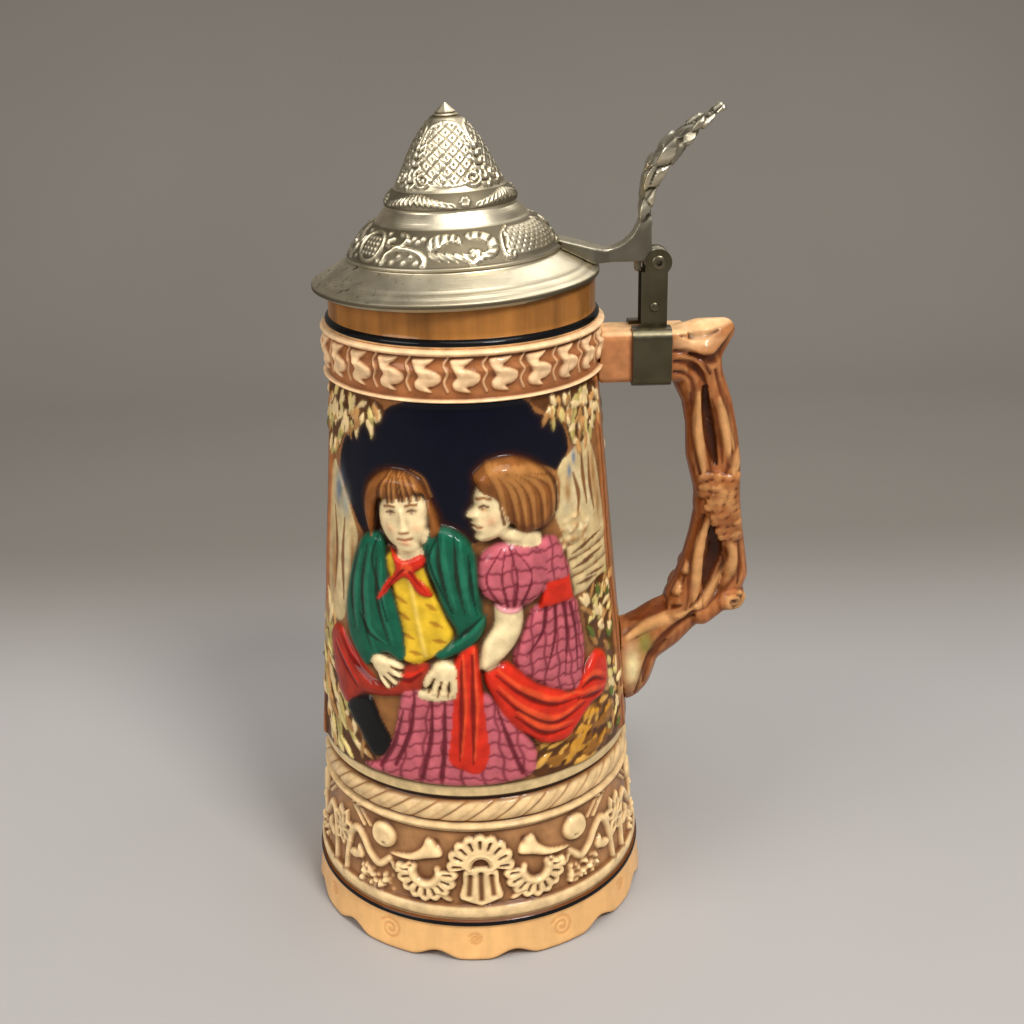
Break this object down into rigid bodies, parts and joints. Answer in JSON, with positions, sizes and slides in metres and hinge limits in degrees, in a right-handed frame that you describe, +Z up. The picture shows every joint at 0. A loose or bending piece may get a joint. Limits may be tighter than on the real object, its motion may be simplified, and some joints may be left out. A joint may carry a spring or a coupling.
{
  "type": "lidded beer stein",
  "caption": "Tapered ceramic beer stein on a scalloped foot, with a branch handle and a hinged conical metal lid lifted by a thumb lever.",
  "frame": {"origin": "on the mug's axis, at the table", "axes": "+Z up along the mug's axis, +X towards the handle, so that the front of the picture faces -Y"},
  "size_m": [0.1442, 0.1104, 0.2537],
  "materials": {
    "glaze": "gloss",
    "branch_glaze": "gloss",
    "lid_metal": "satin",
    "lever_metal": "satin",
    "strap_metal": "satin",
    "pin_metal": "satin"
  },
  "bodies": {
    "mug": {"mug_body": "glaze", "handle": "branch_glaze", "hinge_strap": "strap_metal", "hinge_pin": "pin_metal", "neck_rivet": "pin_metal", "neck_spacer": "pin_metal"},
    "lid": {"lid_shell": "lid_metal", "lid_finial": "lid_metal", "thumb_lever": "lever_metal"}
  },
  "joints": [
    {"name": "lid_hinge", "type": "hinge", "parent": "mug", "child": "lid", "pos_m": [0.0581, 0, 0.20715], "axis": [0, 1, 0], "range_deg": [0, 115]}
  ]
}
